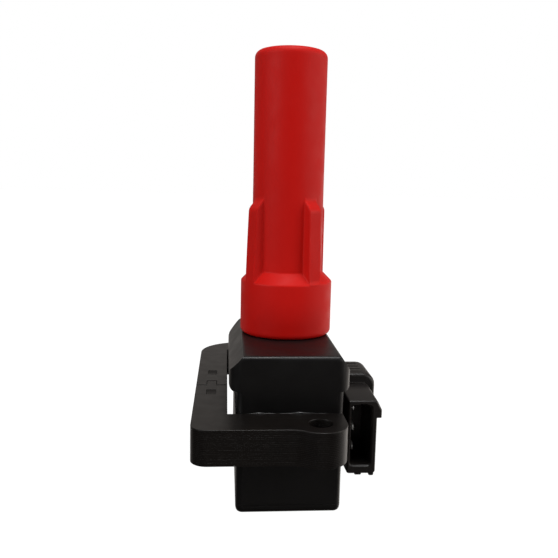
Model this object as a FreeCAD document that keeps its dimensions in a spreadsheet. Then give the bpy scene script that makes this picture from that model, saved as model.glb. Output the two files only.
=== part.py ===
import FreeCAD, Part
import os
from types import SimpleNamespace

import Sketcher
from FreeCAD import Placement, Rotation, Vector

# Plug-top ignition coil, stored upside down on the open face of its case, millimetres.
# The origin is where the boot's axis meets the plane of the case's open face.
# +X is the connector's side, -Y the way that the connector's mouth faces, +Z the spark plug's side.
DIMENSIONS = {
    # case
    "case_left": -16.0, "case_right": 14.1, "front_face": -33.2, "case_back": 39.0,
    "case_wall": 2.0, "case_corner": 2.0,
    "head_left": -18.2, "head_right": 16.0, "head_back": 22.0, "head_low": 35.5, "head_top": 45.7,
    "head_corner": 4.0, "head_back_corner": 8.0, "bevel_left": 4.0, "bevel_right": 3.0, "bevel_down": 4.5,
    "tower_radius": 10.2, "tower_top": 59.7, "nose_radius": 6.2, "nose_top": 85.7, "tower_bore": 4.6,
    "resin_depth": 3.4,
    # laminated core
    "core_low": 19.6, "core_high": 29.5, "leg_width": 12.5, "core_left": -28.3, "slot_left": -18.5,
    "seam": -6.2, "key_middle": -23.4, "key_half_width": 1.5, "key_depth": 4.4,
    "front_corner": 4.5, "back_corner": 15.5,
    "ear_x": 6.5, "ear_radius": 7.3, "ear_proud": 2.6, "ear_blend": 9.0, "bolt_hole_radius": 3.3,
    # coil on the centre core, wound about an axis along Y
    "coil_x": -0.95, "centre_width": 9.0, "magnet_thick": 1.5,
    "sleeve_thick": 0.3, "primary_back": 36.4, "secondary_front": -30.0, "secondary_back": 19.0,
    "bobbin_gap": 0.1, "bobbin_play": 0.3, "primary_wall": 1.0, "primary_wire": 1.7, "primary_flange": 2.0,
    "secondary_wall": 0.9, "secondary_wire": 2.1, "secondary_flange": 2.9, "flange_thick": 0.9,
    "sealant_bead": 0.9, "sealant_margin": 3.0,
    # high voltage path
    "diode_radius": 1.7, "diode_front": -15.0, "diode_back": -6.0, "diode_x": 6.0,
    "lead_radius": 0.4, "lead_in_y": -25.0, "lead_in_low": 37.15, "high_lead": 40.3,
    "pin_radius": 1.2, "terminal_low": 39.7, "cup_low": 44.1, "cup_top": 47.2, "cup_wall": 0.6,
    "cup_floor": 0.8, "cup_clearance": 0.05,
    "resistor_radius": 3.4, "resistor_top": 64.7, "end_cap_thick": 0.35, "end_cap_length": 3.0,
    "spring_radius": 3.0, "spring_wire": 0.45, "spring_top": 109.7, "spring_turns": 11.0,
    "tip_gap": 0.1, "tip_height": 3.0, "tip_bevel": 1.0,
    # boot
    "collar_radius": 14.5, "shoulder_low": 62.5, "shoulder_high": 65.8, "tube_radius": 11.2,
    "boot_top": 133.1, "rim_radius": 2.0, "boot_clearance": 0.3, "chamber_radius": 4.8,
    "plug_bore": 5.1, "plug_bore_low": 113.2, "mouth_bevel": 0.6,
    "fin_thick": 4.4, "fin_low_radius": 14.2, "fin_high_radius": 13.6, "fin_top": 88.0, "fin_bevel": 2.7,
    "fin_turn": 33.0,
    # connector
    "shroud_left": 17.0, "shroud_right": 25.7, "shroud_low": 7.8, "shroud_high": 30.3,
    "mouth": -25.0, "shroud_back": -8.4, "shroud_wall": 1.6, "shroud_sill": 2.6, "shroud_round": 0.8,
    "cavity_floor": -10.4, "rib_proud": 1.4, "rib_low": 24.9, "rib_high": 28.2,
    "root_right": 28.2, "root_back": 6.5, "root_low": 7.8, "root_high": 33.8, "root_round": 2.5,
    "spigot_front": -6.4, "spigot_back": 5.6, "spigot_high": 29.8,
    "blade_x": 20.1, "blade_tip": -17.0, "blade_width": 2.3, "blade_thick": 0.64, "blade_round": 0.28,
    "middle_blade": 19.3, "blade_pitch": 6.4, "strip_pitch": 2.6, "strip_width": 2.0, "strip_leg": 11.4,
    "foot_height": 6.4,
    # ignition driver
    "module_left": -10.0, "module_right": 8.0, "module_front": -10.0, "module_back": 8.0,
    "spreader_low": 4.2, "spreader_thick": 1.3, "module_thick": 3.9,
    "primary_lead_radius": 0.5, "primary_lead_bend": 1.5, "primary_lead_reach": 8.05,
    "start_lead_x": -7.0, "start_lead_y": 24.0, "end_lead_x": 4.5, "end_lead_y": 31.0,
}


class Size:
    """A length that carries its number and the expression that ties it to the sheet."""

    def __init__(self, number, text):
        self.number = number
        self.text = text

    def __add__(self, other):
        other = as_size(other)
        return Size(self.number + other.number, f"({self.text} + {other.text})")

    def __sub__(self, other):
        other = as_size(other)
        return Size(self.number - other.number, f"({self.text} - {other.text})")

    def __mul__(self, factor):
        return Size(self.number * factor, f"({self.text} * {factor:g})")

    def __neg__(self):
        return self * -1


def as_size(item):
    if isinstance(item, Size):
        return item
    return Size(float(item), f"({float(item):g})")


doc = FreeCAD.newDocument("ignition_coil")
sheet = doc.addObject("Spreadsheet::Sheet", "dims")
for row, (alias, number) in enumerate(DIMENSIONS.items(), start=1):
    sheet.set(f"A{row}", str(number))
    sheet.setAlias(f"A{row}", alias)
doc.recompute()
dim = SimpleNamespace(**{alias: Size(number, f"dims.{alias}") for alias, number in DIMENSIONS.items()})

nodes = []


def node(piece, name):
    """Name a finished piece as a sub-part of its own."""
    piece.Label = name
    nodes.append(piece)
    return piece


def bind(piece, target, size):
    piece.setExpression(target, as_size(size).text)


# ---- primitives and booleans ----

def block(name, across, deep, tall):
    """A box between two places along X, two along Y and two along Z."""
    solid = doc.addObject("Part::Box", name)
    for side, axis, (low, high) in zip(("Length", "Width", "Height"), "xyz", (across, deep, tall)):
        bind(solid, side, as_size(high) - low)
        bind(solid, f"Placement.Base.{axis}", low)
    return solid


def rod(name, radius, low, high, centre=(0, 0), along="z"):
    """A cylinder along Z or Y; centre is its place on the other two axes."""
    solid = doc.addObject("Part::Cylinder", name)
    bind(solid, "Radius", radius)
    bind(solid, "Height", as_size(high) - low)
    places = {"x": centre[0], "y": centre[1], "z": low}
    if along == "y":
        solid.Placement = Placement(Vector(), Rotation(Vector(1, 0, 0), -90))
        places = {"x": centre[0], "y": low, "z": centre[1]}
    for axis, place in places.items():
        bind(solid, f"Placement.Base.{axis}", place)
    return solid


def fuse(name, *solids):
    joined = doc.addObject("Part::MultiFuse", name)
    joined.Shapes = list(solids)
    joined.Refine = True
    return joined


def cut(name, base, *tools):
    removed = tools[0] if len(tools) == 1 else fuse(name + "_tools", *tools)
    result = doc.addObject("Part::Cut", name)
    result.Base = base
    result.Tool = removed
    return result


def common(name, base, tool):
    result = doc.addObject("Part::Common", name)
    result.Base = base
    result.Tool = tool
    return result


def rounded(name, base, radius, chosen):
    """Fillet the edges that chosen picks."""
    doc.recompute()
    result = doc.addObject("Part::Fillet", name)
    result.Base = base
    picked = [i for i, edge in enumerate(base.Shape.Edges, start=1) if chosen(edge)]
    result.Edges = [(i, radius.number, radius.number) for i in picked]
    return result


def is_upright(edge):
    return abs(edge.tangentAt(edge.FirstParameter).z) > 0.999


def lies_along(edge, axis):
    return abs(edge.tangentAt(edge.FirstParameter).dot(axis)) > 0.999


# ---- bodies, sketches and features ----

def new_body(name):
    body = doc.addObject("PartDesign::Body", name)
    return node(body, name)


def new_sketch(body, name, plane, height=None):
    """A sketch on one of the body's own origin planes, lifted by height."""
    sketch = body.newObject("Sketcher::SketchObject", name)
    base = next(item for item in body.Origin.OriginFeatures if item.Role == plane)
    sketch.AttachmentSupport = [(base, "")]
    sketch.MapMode = "FlatFace"
    if height is not None:
        bind(sketch, "AttachmentOffset.Base.z", height)
    return sketch


def hold_point(sketch, element, point, place):
    for kind, size in zip(("DistanceX", "DistanceY"), place):
        size = as_size(size)
        index = sketch.addConstraint(Sketcher.Constraint(kind, -1, 1, element, point, size.number))
        sketch.setExpression(f"Constraints[{index}]", size.text)


def add_outline(sketch, corners):
    """A closed outline of straight lines, each corner held by the sheet."""
    places = [Vector(as_size(x).number, as_size(y).number, 0) for x, y in corners]
    first = sketch.GeometryCount
    for start, end in zip(places, places[1:] + places[:1]):
        sketch.addGeometry(Part.LineSegment(start, end), False)
    count = len(corners)
    for i in range(count):
        following = first + (i + 1) % count
        sketch.addConstraint(Sketcher.Constraint("Coincident", first + i, 2, following, 1))
    for i, corner in enumerate(corners):
        hold_point(sketch, first + i, 1, corner)


def add_circle(sketch, centre, radius):
    place = Vector(as_size(centre[0]).number, as_size(centre[1]).number, 0)
    index = sketch.addGeometry(Part.Circle(place, Vector(0, 0, 1), radius.number), False)
    hold_point(sketch, index, 3, centre)
    held = sketch.addConstraint(Sketcher.Constraint("Radius", index, radius.number))
    sketch.setExpression(f"Constraints[{held}]", radius.text)


def pad(body, sketch, length, midplane=False):
    feature = body.newObject("PartDesign::Pad", sketch.Name + "_pad")
    feature.Profile = sketch
    bind(feature, "Length", length)
    feature.Midplane = midplane
    sketch.Visibility = False
    return feature


def pocket_through(body, sketch):
    """Cut the sketch through the whole body, and make sure that it took material away."""
    doc.recompute()
    before = body.Shape.Volume
    feature = body.newObject("PartDesign::Pocket", sketch.Name + "_pocket")
    feature.Profile = sketch
    feature.Type = 1
    feature.Midplane = True
    doc.recompute()
    if body.Shape.Volume >= before:
        raise RuntimeError(f"{feature.Name} cut nothing")
    return feature


def revolve(body, corners):
    """Turn an outline of radius and height all the way round the body's Z axis."""
    sketch = new_sketch(body, body.Name + "_section", "XZ_Plane")
    add_outline(sketch, corners)
    feature = body.newObject("PartDesign::Revolution", body.Name + "_turned")
    feature.Profile = sketch
    feature.ReferenceAxis = (sketch, ["V_Axis"])
    feature.Angle = 360
    return feature


def fillet_feature(body, name, base, radius, chosen):
    doc.recompute()
    edges = [f"Edge{i}" for i, edge in enumerate(base.Shape.Edges, start=1) if chosen(edge)]
    feature = body.newObject("PartDesign::Fillet", name)
    feature.Base = (base, edges)
    bind(feature, "Radius", radius)
    return feature


# ---- case ----

def build_head():
    """The wide flange: a plan with round corners, crossed with a section that has two long bevels."""
    size = ((dim.head_left, dim.head_right), (dim.front_face, dim.head_back), (dim.head_low, dim.head_top))
    plan = block("head_plan", *size)
    plan = rounded("head_front_corners", plan, dim.head_corner,
                   lambda edge: is_upright(edge) and edge.BoundBox.Center.y < 0)
    plan = rounded("head_back_corners", plan, dim.head_back_corner,
                   lambda edge: is_upright(edge) and edge.BoundBox.Center.y > dim.head_back.number - 0.1)
    body = doc.addObject("PartDesign::Body", "head_section")
    sketch = new_sketch(body, "head_section_sketch", "XZ_Plane")
    inner_left = dim.head_left + dim.bevel_left
    inner_right = dim.head_right - dim.bevel_right
    bevel_foot = dim.head_top - dim.bevel_down
    add_outline(sketch, [(dim.head_left, dim.head_low), (dim.head_right, dim.head_low),
                         (dim.head_right, bevel_foot), (inner_right, dim.head_top),
                         (inner_left, dim.head_top), (dim.head_left, bevel_foot)])
    pad(body, sketch, (dim.head_back - dim.front_face) * 3, midplane=True)
    return common("head", plan, body)


def build_case():
    lower = block("case_lower", (dim.case_left, dim.case_right), (dim.front_face, dim.case_back),
                  (0, dim.head_low))
    lower = rounded("case_lower_round", lower, dim.case_corner, is_upright)
    tower = rod("tower", dim.tower_radius, dim.head_top, dim.tower_top)
    nose = rod("nose", dim.nose_radius, dim.tower_top, dim.nose_top)
    shell = fuse("case_outside", lower, build_head(), tower, nose)
    inner_x = (dim.case_left + dim.case_wall, dim.case_right - dim.case_wall)
    front = dim.front_face + dim.case_wall
    deep_room = block("room_under_head", inner_x, (front, dim.head_back - dim.case_wall),
                      (-1, dim.head_top - dim.case_wall))
    low_room = block("room_behind_head", inner_x, (front, dim.case_back - dim.case_wall),
                     (-1, dim.head_low - dim.case_wall))
    bore = rod("tower_bore", dim.tower_bore, dim.head_top - dim.case_wall - 1, dim.nose_top + 1)
    half = dim.centre_width * 0.5
    core_window = block("core_window", (dim.coil_x - half, dim.coil_x + half),
                        (dim.front_face - 1, dim.case_back + 1), (dim.core_low, dim.core_high))
    plug_window = block("connector_window", (dim.case_right - dim.case_wall - 1, dim.case_right + 1),
                        (dim.spigot_front, dim.spigot_back), (dim.root_low, dim.spigot_high))
    case = cut("case", shell, deep_room, low_room, bore, core_window, plug_window)
    return node(case, "case")


def build_resin():
    """Casting resin, level with the case's rim; it closes the open face."""
    inner_x = (dim.case_left + dim.case_wall, dim.case_right - dim.case_wall)
    inner_y = (dim.front_face + dim.case_wall, dim.case_back - dim.case_wall)
    node(block("potting_fill", inner_x, inner_y, (0, dim.resin_depth)), "potting_fill")


# ---- laminated core ----

def build_outer_core(name, corner_radius, inner, outer):
    """An L of stacked sheets: a long leg beside the case and a short leg with an ear and its hole."""
    facing = 1 if inner.number > outer.number else -1
    ear_middle = outer + (dim.ear_radius - dim.ear_proud) * facing
    ear_right = dim.ear_x + dim.ear_radius
    body = new_body(name)
    sketch = new_sketch(body, name + "_plan", "XY_Plane", dim.core_low)
    key_left = dim.key_middle - dim.key_half_width
    key_right = dim.key_middle + dim.key_half_width
    key_end = dim.seam + dim.key_depth
    add_outline(sketch, [(dim.core_left, outer), (dim.ear_x, outer), (dim.ear_x, ear_middle),
                         (ear_right, ear_middle), (ear_right, inner), (dim.slot_left, inner),
                         (dim.slot_left, dim.seam), (key_right, dim.seam), (key_right, key_end),
                         (key_left, key_end), (key_left, dim.seam), (dim.core_left, dim.seam)])
    height = dim.core_high - dim.core_low
    pad(body, sketch, height)
    ear = new_sketch(body, name + "_ear", "XY_Plane", dim.core_low)
    add_circle(ear, (dim.ear_x, ear_middle), dim.ear_radius)
    solid = pad(body, ear, height)

    def is_outer_corner(edge):
        middle = edge.BoundBox.Center
        at_side = abs(middle.x - dim.core_left.number) < 0.1
        return is_upright(edge) and at_side and abs(middle.y - outer.number) < 0.1

    def is_ear_notch(edge):
        middle = edge.BoundBox.Center
        before_ear = dim.core_left.number + 1 < middle.x < dim.ear_x.number - 1
        return is_upright(edge) and before_ear and abs(middle.y - outer.number) < 0.1

    solid = fillet_feature(body, name + "_corner", solid, corner_radius, is_outer_corner)
    fillet_feature(body, name + "_ear_blend", solid, dim.ear_blend, is_ear_notch)
    hole = new_sketch(body, name + "_hole", "XY_Plane", dim.core_low)
    add_circle(hole, (dim.ear_x, ear_middle), dim.bolt_hole_radius)
    pocket_through(body, hole)


def coil_block(name, half_x, half_z, front, back):
    """A block centred on the coil's axis."""
    middle = (dim.core_low + dim.core_high) * 0.5
    return block(name, (dim.coil_x - half_x, dim.coil_x + half_x), (front, back),
                 (middle - half_z, middle + half_z))


def coil_tube(name, half_x, half_z, thick, front, back):
    """A square tube about the coil's axis; half_x and half_z are its inside."""
    outside = coil_block(name + "_outside", half_x + thick, half_z + thick, front, back)
    inside = coil_block(name + "_inside", half_x, half_z, front - 1, back + 1)
    return cut(name, outside, inside)


def build_coil():
    """Centre core, magnet, sleeve, both bobbins and both windings, from the inside out."""
    half_x = dim.centre_width * 0.5
    half_z = (dim.core_high - dim.core_low) * 0.5
    magnet_back = dim.front_face + dim.magnet_thick
    room_front = dim.front_face + dim.case_wall + dim.bobbin_play
    node(coil_block("core_magnet", half_x, half_z, dim.front_face, magnet_back), "core_magnet")
    node(coil_block("centre_core", half_x, half_z, magnet_back, dim.case_back), "centre_core")
    node(coil_tube("core_sleeve", half_x, half_z, dim.sleeve_thick, room_front, dim.primary_back),
         "core_sleeve")

    grow = dim.sleeve_thick + dim.bobbin_gap
    inner_x = half_x + grow
    inner_z = half_z + grow
    tube = coil_tube("primary_tube", inner_x, inner_z, dim.primary_wall, room_front, dim.primary_back)
    flange = dim.primary_wall + dim.primary_flange
    front_flange = coil_tube("primary_front_flange", inner_x, inner_z, flange,
                             room_front, room_front + dim.flange_thick)
    back_flange = coil_tube("primary_back_flange", inner_x, inner_z, flange,
                            dim.primary_back - dim.flange_thick, dim.primary_back)
    node(fuse("primary_bobbin", tube, front_flange, back_flange), "primary_bobbin")
    wound_x = inner_x + dim.primary_wall
    wound_z = inner_z + dim.primary_wall
    node(coil_tube("primary_winding", wound_x, wound_z, dim.primary_wire,
                   room_front + dim.flange_thick, dim.primary_back - dim.flange_thick), "primary_winding")

    inner_x = inner_x + flange + dim.bobbin_gap
    inner_z = inner_z + flange + dim.bobbin_gap
    tube = coil_tube("secondary_tube", inner_x, inner_z, dim.secondary_wall,
                     dim.secondary_front, dim.secondary_back)
    sections = 6
    room = (dim.secondary_back - dim.secondary_front - dim.flange_thick) * (1 / sections)
    flange = dim.secondary_wall + dim.secondary_flange
    walls = []
    for i in range(sections + 1):
        start = dim.secondary_front + room * i
        walls.append(coil_tube(f"section_wall_{i}", inner_x, inner_z, flange,
                               start, start + dim.flange_thick))
    node(fuse("secondary_bobbin", tube, *walls), "secondary_bobbin")
    for i in range(sections):
        start = dim.secondary_front + room * i + dim.flange_thick
        name = f"secondary_winding_{i + 1}"
        node(coil_tube(name, inner_x + dim.secondary_wall, inner_z + dim.secondary_wall,
                       dim.secondary_wire, start, start + room - dim.flange_thick), name)


def build_sealant():
    """A bead of sealant in the corner between the case's front and the core's top face."""
    body = new_body("core_sealant")
    sketch = new_sketch(body, "sealant_section", "YZ_Plane", dim.case_left + dim.sealant_margin)
    add_outline(sketch, [(dim.front_face, dim.core_high), (dim.front_face, dim.core_high + dim.sealant_bead),
                         (dim.front_face - dim.sealant_bead, dim.core_high)])
    pad(body, sketch, dim.case_right - dim.case_left - dim.sealant_margin * 2)


# ---- high voltage path ----

def bent_wire(name, points, radius, bend):
    """Round wire along straight runs joined by tangent arcs."""
    corners = [Vector(*(as_size(c).number for c in point)) for point in points]
    edges = []
    start = corners[0]
    for before, corner, after in zip(corners, corners[1:], corners[2:]):
        into = (before - corner).normalize()
        out = (after - corner).normalize()
        near = corner + into * bend
        far = corner + out * bend
        middle = corner + (into + out) * bend * (1 - 0.5 ** 0.5)
        edges.append(Part.LineSegment(start, near).toShape())
        edges.append(Part.Arc(near, middle, far).toShape())
        start = far
    edges.append(Part.LineSegment(start, corners[-1]).toShape())
    direction = corners[1] - corners[0]
    section = Part.Wire([Part.makeCircle(radius.number, corners[0], direction)])
    wire = doc.addObject("Part::Feature", name)
    wire.Shape = Part.Wire(edges).makePipeShell([section], True, False)
    wire.Placement = Placement()
    return node(wire, name)


def build_diode():
    """High-voltage diode, with a lead from the secondary winding and one to the tower's terminal."""
    node(rod("hv_diode", dim.diode_radius, dim.diode_front, dim.diode_back,
             (dim.diode_x, dim.high_lead), "y"), "hv_diode")
    bent_wire("hv_lead_in", [(dim.diode_x, dim.lead_in_y, dim.lead_in_low),
                             (dim.diode_x, dim.lead_in_y, dim.high_lead),
                             (dim.diode_x, dim.diode_front, dim.high_lead)], dim.lead_radius, 1.0)
    bent_wire("hv_lead_out", [(dim.diode_x, dim.diode_back, dim.high_lead), (dim.diode_x, 0, dim.high_lead),
                              (dim.pin_radius, 0, dim.high_lead)], dim.lead_radius, 1.0)


def build_tower_parts():
    """Brass terminal with a cup in the tower's bore, and the resistor that stands in the cup."""
    terminal = new_body("hv_terminal")
    cup_outside = dim.tower_bore - dim.cup_clearance
    cup_inside = cup_outside - dim.cup_wall
    floor = dim.cup_low + dim.cup_floor
    revolve(terminal, [(0, dim.terminal_low), (dim.pin_radius, dim.terminal_low),
                       (dim.pin_radius, dim.cup_low), (cup_outside, dim.cup_low), (cup_outside, dim.cup_top),
                       (cup_inside, dim.cup_top), (cup_inside, floor), (0, floor)])
    resistor = new_body("suppression_resistor")
    waist = dim.resistor_radius - dim.end_cap_thick
    lower_cap = floor + dim.end_cap_length
    upper_cap = dim.resistor_top - dim.end_cap_length
    revolve(resistor, [(0, floor), (dim.resistor_radius, floor), (dim.resistor_radius, lower_cap),
                       (waist, lower_cap), (waist, upper_cap), (dim.resistor_radius, upper_cap),
                       (dim.resistor_radius, dim.resistor_top), (0, dim.resistor_top)])


def build_spring():
    """Contact spring from the resistor to the plug's terminal, and its closed end."""
    start_height = dim.resistor_top.number + dim.spring_wire.number
    height = dim.spring_top.number - dim.spring_wire.number - start_height
    helix = Part.makeHelix(height / dim.spring_turns.number, height, dim.spring_radius.number)
    start = Vector(dim.spring_radius.number, 0, 0)
    section = Part.Wire([Part.makeCircle(dim.spring_wire.number, start, Vector(0, 1, 0))])
    spring = doc.addObject("Part::Feature", "contact_spring")
    spring.Shape = Part.Wire(helix).makePipeShell([section], True, True)
    spring.Placement = Placement(Vector(0, 0, start_height), Rotation())
    node(spring, "contact_spring")
    tip = new_body("contact_spring_tip")
    low = dim.spring_top + dim.tip_gap
    top = dim.spring_top + dim.tip_height
    reach = dim.spring_radius + dim.spring_wire
    revolve(tip, [(0, low), (reach, low), (reach, top - dim.tip_bevel),
                  (reach - dim.tip_bevel, top), (0, top)])


# ---- boot ----

def build_boot():
    """Silicone boot: a collar over the tower, a tube over the plug and four fins between them."""
    body = new_body("plug_boot")
    gap = dim.boot_clearance
    socket = dim.tower_radius + gap
    nose_socket = dim.nose_radius + gap
    turned = revolve(body, [
        (socket, dim.head_top), (dim.collar_radius, dim.head_top),
        (dim.collar_radius, dim.shoulder_low), (dim.tube_radius, dim.shoulder_high),
        (dim.tube_radius, dim.boot_top),
        (dim.plug_bore + dim.mouth_bevel, dim.boot_top),
        (dim.plug_bore, dim.boot_top - dim.mouth_bevel), (dim.plug_bore, dim.plug_bore_low),
        (dim.chamber_radius, dim.plug_bore_low - 0.5), (dim.chamber_radius, dim.nose_top + gap),
        (nose_socket, dim.nose_top + gap), (nose_socket, dim.tower_top + gap),
        (socket, dim.tower_top + gap)])
    fillet_feature(body, "boot_rim", turned, dim.rim_radius,
                   lambda edge: abs(edge.BoundBox.ZMin - dim.boot_top.number) < 0.01
                   and abs(edge.BoundBox.XMax - dim.tube_radius.number) < 0.01)
    sketch = new_sketch(body, "fin_side", "XZ_Plane")
    inside = dim.tube_radius - 1
    add_outline(sketch, [(inside, dim.shoulder_low - 1), (dim.fin_low_radius, dim.shoulder_low - 1),
                         (dim.fin_high_radius, dim.fin_top - dim.fin_bevel),
                         (dim.fin_high_radius - dim.fin_bevel, dim.fin_top), (inside, dim.fin_top)])
    fin = pad(body, sketch, dim.fin_thick, midplane=True)
    fins = body.newObject("PartDesign::PolarPattern", "fins")
    fins.Originals = [fin]
    fins.Axis = (next(item for item in body.Origin.OriginFeatures if item.Role == "Z_Axis"), [""])
    fins.Angle = 360
    fins.Occurrences = 4
    body.Tip = fins
    body.Placement = Placement(Vector(), Rotation(Vector(0, 0, 1), dim.fin_turn.number))


# ---- connector and driver ----

def build_terminal(name, rank):
    """One bent strip: blade in the socket, cross strip through the root, leg and foot to the driver."""
    half = dim.blade_width * 0.5
    height = dim.middle_blade + dim.blade_pitch * rank
    strip_middle = dim.strip_pitch * rank
    strip_half = dim.strip_width * 0.5
    strip = (strip_middle - dim.blade_thick * 0.5, strip_middle + dim.blade_thick * 0.5)
    blade_x = (dim.blade_x - dim.blade_thick * 0.5, dim.blade_x + dim.blade_thick * 0.5)
    leg_x = (dim.strip_leg, dim.strip_leg + dim.blade_thick)
    blade = block(name + "_blade", blade_x, (dim.blade_tip, strip[1]), (height - half, height + half))
    tilted = rounded(name + "_tip", blade, dim.blade_round,
                     lambda edge: is_upright(edge) and edge.BoundBox.YMax < dim.blade_tip.number + 0.1)
    across = block(name + "_cross", (leg_x[0], blade_x[1]), strip, (height - half, height + half))
    leg_y = (strip_middle - strip_half, strip_middle + strip_half)
    leg = block(name + "_leg", leg_x, leg_y, (dim.foot_height, height + half))
    foot = block(name + "_foot", (dim.module_right, leg_x[1]), leg_y,
                 (dim.foot_height, dim.foot_height + dim.blade_thick))
    return node(fuse(name, tilted, across, leg, foot), name)


def build_connector(terminals):
    """The socket, its root block and the spigot that closes the case's side window."""
    shroud = block("shroud", (dim.shroud_left, dim.shroud_right), (dim.mouth, dim.shroud_back),
                   (dim.shroud_low, dim.shroud_high))
    shroud = rounded("shroud_round", shroud, dim.shroud_round,
                     lambda edge: lies_along(edge, Vector(0, 1, 0)))
    rib = block("lock_rib", (dim.shroud_right - 1, dim.shroud_right + dim.rib_proud),
                (dim.mouth + 1, dim.shroud_back), (dim.rib_low, dim.rib_high))
    root = block("root", (dim.case_right, dim.root_right), (dim.shroud_back, dim.root_back),
                 (dim.root_low, dim.root_high))
    root = rounded("root_round", root, dim.root_round,
                   lambda edge: lies_along(edge, Vector(0, 1, 0))
                   and edge.BoundBox.ZMin > dim.root_high.number - 0.1
                   and edge.BoundBox.XMin > dim.root_right.number - 0.1)
    spigot = block("spigot", (dim.case_right - dim.case_wall, dim.case_right),
                   (dim.spigot_front, dim.spigot_back), (dim.root_low, dim.spigot_high))
    outside = fuse("connector_outside", shroud, rib, root, spigot)
    cavity = block("connector_cavity", (dim.shroud_left + dim.shroud_wall, dim.shroud_right - dim.shroud_wall),
                   (dim.mouth - 1, dim.cavity_floor),
                   (dim.shroud_low + dim.shroud_sill, dim.shroud_high - dim.shroud_wall))
    node(cut("connector_housing", outside, cavity, *terminals), "connector_housing")


def build_driver():
    """Ignition driver on its heat spreader, and the two primary leads."""
    top = dim.spreader_low + dim.spreader_thick
    node(block("igniter_heat_spreader", (dim.module_left - 1, dim.module_right - 2),
               (dim.module_front - 2, dim.module_back + 2), (dim.spreader_low, top)), "igniter_heat_spreader")
    node(block("igniter_module", (dim.module_left, dim.module_right), (dim.module_front, dim.module_back),
               (top, top + dim.module_thick)), "igniter_module")
    lead_low = top + dim.module_thick * 0.5
    lead_high = (dim.core_low + dim.core_high) * 0.5 - dim.primary_lead_reach
    leads = {"primary_lead_start": (dim.start_lead_x, dim.start_lead_y),
             "primary_lead_end": (dim.end_lead_x, dim.end_lead_y)}
    for name, (across, back) in leads.items():
        bent_wire(name, [(across, dim.module_back, lead_low), (across, back, lead_low),
                         (across, back, lead_high)], dim.primary_lead_radius, dim.primary_lead_bend.number)


def check_document():
    for item in doc.Objects:
        if "Invalid" in item.State or "Error" in item.State:
            raise RuntimeError(f"{item.Label} failed: {item.State}")
    for piece in nodes:
        if piece.Shape.isNull() or not piece.Shape.isValid() or not piece.Shape.Solids:
            raise RuntimeError(f"{piece.Label} has no valid solid")


def write_parts():
    os.makedirs("parts", exist_ok=True)
    for piece in nodes:
        piece.Shape.exportStep(f"parts/{piece.Label}.step")
        print(f"{piece.Label}: {piece.Shape.Volume:.1f} mm3, {len(piece.Shape.Solids)} solid")


build_case()
build_resin()
build_outer_core("outer_core_front", dim.front_corner, dim.front_face, dim.front_face - dim.leg_width)
build_outer_core("outer_core_rear", dim.back_corner, dim.case_back, dim.case_back + dim.leg_width)
build_coil()
build_sealant()
build_diode()
build_tower_parts()
build_spring()
build_boot()
pieces = [build_terminal(name, rank) for name, rank in
          (("terminal_ground", -1), ("terminal_signal", 0), ("terminal_power", 1))]
build_connector(pieces)
build_driver()
doc.recompute()
check_document()
write_parts()
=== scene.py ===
"""Plug-top ignition coil around its CAD frame: camera, studio, materials and finished meshes, in metres."""
import math
import random

import bmesh
import bpy
from mathutils import Matrix, Vector


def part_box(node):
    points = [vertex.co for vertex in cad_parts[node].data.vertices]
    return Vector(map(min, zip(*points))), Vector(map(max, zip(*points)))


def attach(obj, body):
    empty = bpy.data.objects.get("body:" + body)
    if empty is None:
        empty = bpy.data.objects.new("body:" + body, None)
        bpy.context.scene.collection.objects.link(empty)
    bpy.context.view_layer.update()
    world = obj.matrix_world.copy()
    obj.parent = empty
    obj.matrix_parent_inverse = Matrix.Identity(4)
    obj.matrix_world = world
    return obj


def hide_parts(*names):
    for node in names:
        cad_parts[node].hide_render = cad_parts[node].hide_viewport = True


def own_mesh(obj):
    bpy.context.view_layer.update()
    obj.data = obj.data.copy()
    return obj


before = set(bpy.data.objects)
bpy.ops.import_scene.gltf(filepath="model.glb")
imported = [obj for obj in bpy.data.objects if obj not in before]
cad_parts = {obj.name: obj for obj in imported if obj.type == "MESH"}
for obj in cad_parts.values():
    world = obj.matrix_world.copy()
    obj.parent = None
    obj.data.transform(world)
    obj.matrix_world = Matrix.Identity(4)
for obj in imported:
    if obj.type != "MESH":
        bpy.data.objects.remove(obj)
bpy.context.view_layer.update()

MM = 0.001
HOLE_BEVEL = 0.08
rng = random.Random(7)


def mm_box(name):
    """A CAD node's lowest and highest corners in millimetres."""
    low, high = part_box(name)
    return Vector(low) / MM, Vector(high) / MM


# ---- mesh building, in millimetres until a piece is made ----

def round_corners(corners, turn=11):
    """Points along a closed outline of (x, y, radius) corners, which turn in steps of about turn degrees."""
    points = []
    count = len(corners)
    for i, (x, y, radius) in enumerate(corners):
        here = Vector((x, y))
        before = (Vector(corners[i - 1][:2]) - here).normalized()
        after = (Vector(corners[(i + 1) % count][:2]) - here).normalized()
        half = before.angle(after) / 2
        if radius <= 0 or half > math.radians(89.5):
            points.append(here)
            continue
        centre = here + (before + after).normalized() * radius / math.sin(half)
        start = here + before * radius / math.tan(half) - centre
        end = here + after * radius / math.tan(half) - centre
        sweep = start.angle_signed(end)
        steps = max(2, round(abs(math.degrees(sweep)) / turn))
        for step in range(steps + 1):
            angle = -sweep * step / steps
            points.append(centre + Matrix.Rotation(angle, 2) @ start)
    return points


def circle(x, y, radius, steps=48):
    angles = [2 * math.pi * i / steps for i in range(steps)]
    return [Vector((x + radius * math.cos(angle), y + radius * math.sin(angle))) for angle in angles]


def arc(centre, radius, start, end, steps):
    """Points from one angle to another round a centre, with both ends."""
    angles = [start + (end - start) * i / steps for i in range(steps + 1)]
    return [centre + Vector((math.cos(angle), math.sin(angle))) * radius for angle in angles]


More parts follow.
